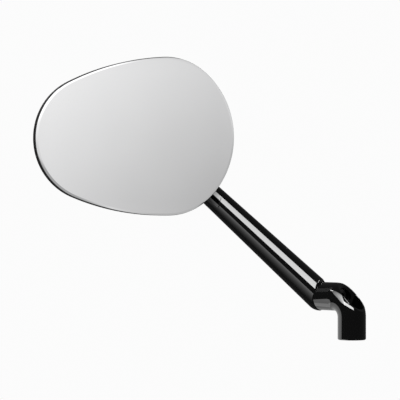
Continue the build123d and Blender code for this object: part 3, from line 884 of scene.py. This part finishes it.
class MIRROR_OT_stage(bpy.types.Operator):
    """Make the floor, backdrop, soft boxes, room light and camera"""

    bl_idname = "mirror.stage"
    bl_label = "Set the Stage"

    def execute(self, context):
        settings = context.scene.mirror_stage
        context.scene.view_settings.view_transform = "Standard"
        self.camera(context, settings)
        self.room(context, settings)
        self.paper(settings)
        self.lamps(context, settings)
        return {"FINISHED"}

    def camera(self, context, settings):
        """A level long-lens camera that looks along +Y."""
        lens = bpy.data.cameras.new("camera")
        lens.lens = settings.camera_lens
        lens.sensor_width = 36.0
        lens.clip_start = 0.05
        lens.clip_end = 50.0
        camera = bpy.data.objects.new("camera", lens)
        camera.location = settings.camera_place
        camera.rotation_euler = (math.radians(90), 0.0, 0.0)
        context.scene.collection.objects.link(camera)
        context.scene.camera = camera

    def room(self, context, settings):
        """A pale background for the camera alone, and a dim room for all else."""
        world = bpy.data.worlds.new("room")
        context.scene.world = world
        world.use_nodes = True
        nodes, links = world.node_tree.nodes, world.node_tree.links
        path = nodes.new("ShaderNodeLightPath")
        tone = nodes.new("ShaderNodeMapRange")
        tone.inputs["To Min"].default_value = settings.room
        tone.inputs["To Max"].default_value = settings.backdrop
        links.new(path.outputs["Is Camera Ray"], tone.inputs["Value"])
        links.new(tone.outputs["Result"], nodes["Background"].inputs["Strength"])
        nodes["Background"].inputs["Color"].default_value = (1.0, 1.0, 1.0, 1.0)

    def paper(self, settings):
        """A pale round floor that fades away at its rim and leaves no image of itself on gloss."""
        rings, spokes = FLOOR_GRID
        reach, turn = np.meshgrid(
            np.linspace(MM, settings.floor_radius, rings), np.linspace(0, 2 * np.pi, spokes)
        )
        middle = HEAD_ORIGIN[0] + FLOOR_SHIFT
        level = np.full_like(reach, -settings.floor_drop)
        disc = np.stack([middle + reach * np.cos(turn), reach * np.sin(turn), level], axis=-1)
        floor = sheet_object("floor", disc)
        look = Shader("paper_floor")
        grain = look.noise(3 * MM, detail=4.0)
        look.colour(look.mottle(grain, settings.paper, low=0.985, high=1.0))
        look.set(Roughness=0.9)
        outward = look.uv()[0]
        look.link(look.span(outward, 1.0, 0.0, start=0.6, end=1.0), look.bsdf.inputs["Alpha"])
        floor.data.materials.append(look.material)
        floor.visible_glossy = False

    def face_card(self, settings, receivers):
        """A great pale bowl in front that only polished metal shows: lighter up and to the left.

        It is dim where it is seen by way of a second piece.
        """
        card = bowl_object("face_card", (-110, 130), (60, -88))
        look = Shader("glow_face_card")
        look.nodes.remove(look.bsdf)
        across, down = look.uv()
        side = look.span(across, 0.125, -0.125, start=0.5625, end=0.6375)
        lift = look.span(down, 0.11, -0.11, start=0.349, end=0.439)
        corner = look.maths(
            "MULTIPLY",
            look.span(across, 0.45, 0.0, start=0.54, end=0.60),
            look.span(down, 1.0, 0.0, start=0.24, end=0.32),
        )
        dim = look.maths(
            "MULTIPLY",
            look.span(across, -0.35, 0.0, start=0.50, end=0.56),
            look.span(down, 0.0, 1.0, start=0.50, end=0.56),
        )
        tone = look.maths("ADD", look.maths("ADD", side, lift), look.maths("ADD", corner, settings.card))
        bounces = look.add("ShaderNodeLightPath").outputs["Ray Depth"]
        direct = look.span(bounces, 1.0, 0.15, start=1.2, end=1.8)
        look.shine(look.maths("MULTIPLY", look.maths("ADD", tone, dim), direct))
        hang(card, look.material, receivers)

    def lamps(self, context, settings):
        """Lights the pieces as a product studio does.

        There is a strip over the stem, with soft boxes at the left, low fills, pale cards and lights behind.
        """
        key, side, fill = settings.strip_power, settings.side_power, settings.fill_power
        metal = tuple(NODES[name] for name in (*BRIGHT_PIECES, *DARK_PIECES))
        stem = bpy.data.objects["stem_shell"]
        elbow = NODES["elbow"]
        housing = NODES["head_housing"]
        soft_box(
            "strip_box", STEM_MIDDLE, ((-21.1, 34.8), (24.2, 65.6), (-8.7, 27.1), (38.0, 54.3)),
            key, (0.95, 0.85, 1.15, 1.0), (stem, elbow, housing, *metal),
        )
        soft_box(
            "side_box", ELBOW_MIDDLE, ((-80, 46), (-42, 44), (-62, 10), (-41, 15)),
            side, (0.10, 0.40, 0.35, 1.1), (elbow, housing), bend=1.5,
        )
        soft_box(
            "line_box", ELBOW_MIDDLE, ((-106, 42), (-76, 44.2), (-106, 40.4), (-76, 41.8)),
            side, (0.5, 1.6, 0.5, 1.6), (elbow,),
        )
        soft_box(
            "low_box", ELBOW_MIDDLE, ((-43, 23.5), (17, 23.5), (-43, 15.5), (17, 17)),
            side, EVEN, (elbow,),
        )
        soft_box(
            "stem_fill", STEM_MIDDLE, ((-98, -22), (-45.5, 9.6), (-98, -44), (-30.5, -3.6)),
            fill, (0, 1, 0, 1), (stem,), distance=FILL_DISTANCE, bend=2.2,
        )
        soft_box(
            "elbow_fill", ELBOW_MIDDLE, ((-178, -1), (-92, -1), (-178, -60), (-96, -60)),
            fill, (0.14, 0.7, 0.25, 0.35), (elbow,), distance=NEAR_DISTANCE,
        )
        soft_box(
            "leg_fill", ELBOW_MIDDLE, ((-178, -52), (-76, -13), (-178, -75), (-76, -62)),
            fill, (0.05, 0.85, 0.1, 0.5), (elbow,), distance=NEAR_DISTANCE,
        )
        self.face_card(settings, (bpy.data.objects["reflector"], *metal))
        right_to_left, down = np.linspace(0.5, -0.7, num=3), np.linspace(0.36, -0.15, num=3)
        across, height = np.meshgrid(right_to_left, down)
        behind = np.full_like(across, BOX_DISTANCE)
        back = sheet_object("back_card", np.stack([across, behind, height], axis=-1))
        hang(back, glow("glow_back_card", fill, (0.08, 0.08, 0.4, 0.4)), (stem,))
        rear = bowl_object("rear_card", (95, 265), (80, 20))
        hang(rear, glow("glow_rear_card", settings.rear_power, (1.8, 0.8, 0.2, 0.0)), (housing, *metal))
        soft_box(
            "rear_box", STEM_MIDDLE, ((166, 60), (184, 60), (166, 24), (184, 24)),
            side, EVEN, (stem,),
        )
        soft_box(
            "rear_strip", STEM_MIDDLE, ((102, 22), (118, 10), (96, 13), (112, 1)),
            side, (0.3, 0.6, 0.3, 0.6), (stem,),
        )
        self.near_cards(context.scene.mirror_stem, key, fill, stem)
        self.sun(context, "overhead", settings.overhead_power, (20, -15, 0))
        rear_sun = self.sun(context, "behind", BEHIND_SHARE * settings.overhead_power, (-52, 0, 10))
        link_light(rear_sun, (housing, *metal))

    def near_cards(self, sizes, key, fill, stem):
        """Small cards over the stem's top, where the head hides the lamps.

        The upper and the lower edge each have an angle round the stem in degrees, a height over it, and
        two ends along it, in millimetres.
        """
        cards = (
            (
                "strip_end", key, (0.16, 0.87, 0.22, 1.03),
                (170.7, 3.55, 95.15, 87.5), (144.0, 3.82, 95.15, 85.5),
            ),
            (
                "band_end", fill, (0.1, 0.95, 0.03, 0.36),
                (114.3, 5.75, 95.75, 84.9), (96.1, 5.26, 95.75, 84.9),
            ),
        )
        for name, radiance, levels, *edges in cards:
            corners = [
                over_stem(sizes, math.radians(angle), height * MM, along * MM)
                for angle, height, *ends in edges
                for along in ends
            ]
            sheet = sheet_object(name, np.reshape(corners, (2, 2, 3)), smooth=False)
            hang(sheet, glow("glow_" + name, radiance, levels), (stem,))

    def sun(self, context, name, energy, turn):
        """A wide, even light, turned by degrees, that leaves no image of itself on gloss."""
        lamp = bpy.data.lights.new(name, "SUN")
        lamp.energy = energy
        lamp.angle = SUN_SPREAD
        made = bpy.data.objects.new(name, lamp)
        made.rotation_euler = [math.radians(part) for part in turn]
        made.visible_glossy = False
        context.scene.collection.objects.link(made)
        return made


class MIRROR_PT_panel(bpy.types.Panel):
    """Lists the mirror's operators and settings"""

    bl_idname = "MIRROR_PT_panel"
    bl_label = "Motorcycle Mirror"
    bl_space_type = "VIEW_3D"
    bl_region_type = "UI"
    bl_category = "Mirror"

    def draw(self, context):
        layout = self.layout
        for operator in OPERATORS:
            layout.operator(operator.bl_idname)
        scene = context.scene
        for group in (scene.mirror_finish, scene.mirror_plate, scene.mirror_stem, scene.mirror_stage):
            box = layout.box()
            for key in group.__annotations__:
                box.prop(group, key)


OPERATORS = (
    MIRROR_OT_dress_head,
    MIRROR_OT_dress_arm,
    MIRROR_OT_dress_ball_joint,
    MIRROR_OT_dress_swivel,
    MIRROR_OT_stage,
)
SETTINGS = (MirrorFinishSettings, MirrorPlateSettings, MirrorStemSettings, MirrorStageSettings)
CLASSES = (*SETTINGS, *OPERATORS, MIRROR_PT_panel)


def register():
    """Registers the classes and hangs the settings on the scene."""
    for kind in CLASSES:
        bpy.utils.register_class(kind)
    bpy.types.Scene.mirror_finish = bpy.props.PointerProperty(type=MirrorFinishSettings)
    bpy.types.Scene.mirror_plate = bpy.props.PointerProperty(type=MirrorPlateSettings)
    bpy.types.Scene.mirror_stem = bpy.props.PointerProperty(type=MirrorStemSettings)
    bpy.types.Scene.mirror_stage = bpy.props.PointerProperty(type=MirrorStageSettings)


def unregister():
    """Takes the settings and the classes away again."""
    del bpy.types.Scene.mirror_stage
    del bpy.types.Scene.mirror_stem
    del bpy.types.Scene.mirror_plate
    del bpy.types.Scene.mirror_finish
    for kind in reversed(CLASSES):
        bpy.utils.unregister_class(kind)


def main():
    """Builds the looks in order."""
    register()
    bpy.ops.mirror.dress_head()
    bpy.ops.mirror.dress_arm()
    bpy.ops.mirror.dress_ball_joint()
    bpy.ops.mirror.dress_swivel()
    bpy.ops.mirror.stage()


if __name__ == "__main__":
    main()
